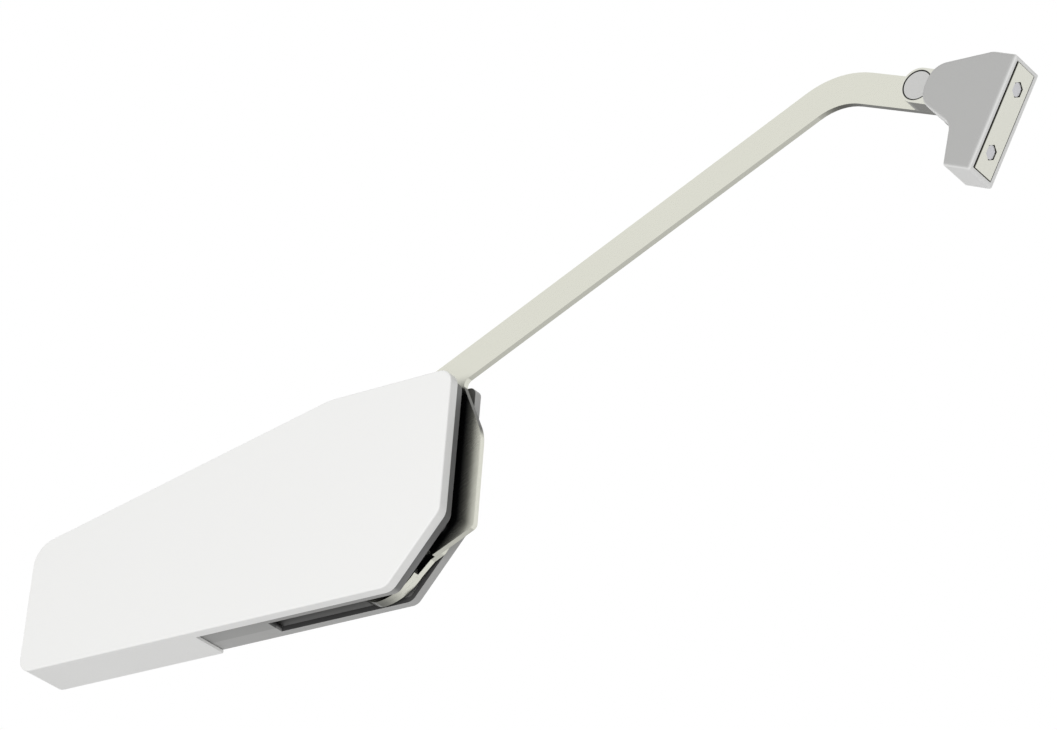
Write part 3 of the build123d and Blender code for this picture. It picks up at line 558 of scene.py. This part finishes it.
# %% Painted shade round the pin's head
pin_place = np.array([0.19586, -0.01055, 0.109552])
seat_radius = 0.00515
pin_seat_shade, mask_out = new_mask("pin_seat_shade")
flat = place(pin_seat_shade, "ShaderNodeVectorMath", operation="MULTIPLY")
pin_seat_shade.links.new(point_of(pin_seat_shade), flat.inputs[0])
flat.inputs[1].default_value = (1.0, 0.0, 1.0)
from_pin = place(pin_seat_shade, "ShaderNodeVectorMath", operation="DISTANCE")
pin_seat_shade.links.new(flat.outputs["Vector"], from_pin.inputs[0])
from_pin.inputs[1].default_value = (pin_place[0], 0.0, pin_place[2])
ring = ramp(pin_seat_shade, from_pin.outputs["Value"], seat_radius + 0.0001, seat_radius - 0.0001)
pin_seat_shade.links.new(ring, mask_out)
overlay(bracket_steel, pin_seat_shade, (0.06, 0.06, 0.055))
print("seat radius", seat_radius)

# %% [markdown]
# ## The two bolts in the bracket
# Each bolt has a hexagonal head that sits a little below the face of the base plate, in a pocket of the
# same shape. The solid model has plain flush heads, so the heads are made anew. A head is a profile swept
# round an axis. Around a circle the radius would be constant. Around a hexagon it is h / cos(t), where h is
# half the width across flats and t the angle to the middle of the nearest flat. The bevelled crown comes
# from letting the top rings be round and the lower ones hexagonal.

# %% Bolt heads with a bevelled crown
to_flap = np.array([cos(bracket_angle), 0.0, sin(bracket_angle)])
up_plate = np.array([-sin(bracket_angle), 0.0, cos(bracket_angle)])
half_flats = 0.0022
plate_face = 0.0325
bolt_heights = (0.0048, -0.0161)


def hexagon_bolt(name, up, steps=96):
    """A bolt turned from rings (radius, depth, k) about its axis, at a height up the plate.

    The radius at angle t is radius x ((1 - k) + k / cos(t)), with t measured to the nearest flat.
    """
    rings = np.array([
        (0.0, 0.00025, 0), (0.00150, 0.00025, 0), (0.00212, 0.00025, 0), (0.00218, 0.0003, 0.4),
        (half_flats, 0.0004, 1), (half_flats, 0.0016, 1), (0.00150, 0.0016, 0), (0.00150, 0.0055, 0),
        (0.0, 0.0055, 0),
    ])
    turn = np.linspace(0, tau, steps, endpoint=False)
    nearest = (turn + pi / 6) % (pi / 3) - pi / 6
    radius = rings[:, :1] * ((1 - rings[:, 2:]) + rings[:, 2:] / np.cos(nearest))
    along = plate_face - rings[:, 1, None] + 0 * turn
    points = (
        pin_place + along[..., None] * to_flap + (up + radius * np.cos(turn))[..., None] * up_plate
        + (radius * np.sin(turn))[..., None] * np.array([0.0, 1.0, 0.0])
    )
    ring, step = np.meshgrid(np.arange(len(rings) - 1), np.arange(steps), indexing="ij")
    after = (step + 1) % steps
    faces = np.stack([
        ring * steps + step, (ring + 1) * steps + step, (ring + 1) * steps + after, ring * steps + after,
    ], axis=-1).reshape(-1, 4)
    return surface(name, points.reshape(-1, 3), faces)


def surface(name, points, faces):
    """A new object from arrays of points and faces: doubles merged, normals outwards, smooth below 35 degrees."""
    mesh = bpy.data.meshes.new(name)
    mesh.from_pydata(points.tolist(), [], faces.tolist())
    shape = bmesh.new()
    shape.from_mesh(mesh)
    bmesh.ops.remove_doubles(shape, verts=shape.verts, dist=1e-7)
    bmesh.ops.dissolve_degenerate(shape, dist=1e-8, edges=shape.edges)
    bmesh.ops.recalc_face_normals(shape, faces=shape.faces)
    shape.to_mesh(mesh)
    shape.free()
    mesh.shade_smooth()
    mesh.set_sharp_from_angle(angle=radians(35))
    made = bpy.data.objects.new(name, mesh)
    scene.collection.objects.link(made)
    return made


bolt_heads = [
    hexagon_bolt("upper_hexagon_bolt", bolt_heights[0]), hexagon_bolt("lower_hexagon_bolt", bolt_heights[1])
]
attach(bolt_heads[0], "bracket")
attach(bolt_heads[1], "bracket")
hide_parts("flap_bolts")
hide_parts("flap_bolts")
print("points in a bolt", len(bolt_heads[0].data.vertices))

# %% [markdown]
# The base plate is painted darker in two places, as the shade that falls there: on the walls of the two
# pockets, and along its near edge, where it dives under the cap's rim. The first needs both masks at once,
# near a bolt and not facing the flap. The second is a position alone.

# %% Painted shade in the pockets round the bolt heads
bolt_pocket_shade, mask_out = new_mask("bolt_pocket_shade")
where = point_of(bolt_pocket_shade)
near_bolt = None
for up in bolt_heights:
    reach = place(bolt_pocket_shade, "ShaderNodeVectorMath", operation="DISTANCE")
    bolt_pocket_shade.links.new(where, reach.inputs[0])
    reach.inputs[1].default_value = pin_place + up * up_plate + plate_face * to_flap
    near = ramp(bolt_pocket_shade, reach.outputs["Value"], 0.0036, 0.0034)
    near_bolt = near if near_bolt is None else arithmetic(bolt_pocket_shade, "MAXIMUM", near_bolt, near)
off_face = ramp(bolt_pocket_shade, towards(bolt_pocket_shade, normal_of(bolt_pocket_shade), tuple(to_flap)), 0.7, 0.5)
pocket_wall = arithmetic(bolt_pocket_shade, "MULTIPLY", near_bolt, off_face)
near_side = ramp(bolt_pocket_shade, towards(bolt_pocket_shade, where, (0.0, -1.0, 0.0)), 0.01485, 0.01500)
bolt_pocket_shade.links.new(arithmetic(bolt_pocket_shade, "MAXIMUM", near_side, pocket_wall), mask_out)
plate_steel = finished(
    "nickel_plated_base", rolled_steel, (0.72, 0.72, 0.65), metallic=0.9, Turn=bracket_angle, Roughness=0.3,
    Depth=0.03, Mottle=0.02,
)
overlay(plate_steel, bolt_pocket_shade, (0.12, 0.12, 0.1))
bolt_steel = finished(
    "bolt_steel", rolled_steel, (0.6, 0.6, 0.62), metallic=0.9, Turn=bracket_angle, Roughness=0.35, Depth=0.1,
    Mottle=0.05,
)
for bolt in bolt_heads:
    bolt.data.materials.append(bolt_steel)
print("pockets on", plate_steel.name)

# %% Dress the solids
finish_of = {
    "cover_cap": white_cover, "inner_case": inner_grey_shaded, "outer_case": outer_grey, "bracket_cap": cap_grey,
    "spring_slide": dark_plastic, "spring_seat": dark_plastic, "damper_cylinder": dark_plastic,
    "pin_washer": dark_plastic, "arm_plate": lever_steel, "cam_plate": lever_steel,
    "bracket_arm": bracket_steel, "base_plate": plate_steel, "case_screws": zinc_steel,
    "lever_axle": zinc_steel, "bearing_plate": zinc_steel, "guide_rods": zinc_steel,
    "roller_pin": zinc_steel, "damper_rod": zinc_steel, "force_spindle": zinc_steel,
    "hub_rivets": zinc_steel, "bracket_pin": zinc_steel, "flap_bolts": zinc_steel,
    "cam_roller": spring_wire, "upper_spring": spring_wire, "lower_spring": spring_wire,
    "hub_bush": bush_brass,
}
for name, material in finish_of.items():
    nodes[name].data.materials.clear()
    nodes[name].data.materials.append(material)
print("without a finish:", sorted(set(nodes) - set(finish_of)))

# %% [markdown]
# ## Measure and finish
# The box of the solids is printed.

# %% Print the solids' box
print("solids", [tuple(round(v, 4) for v in c) for c in solid_box])
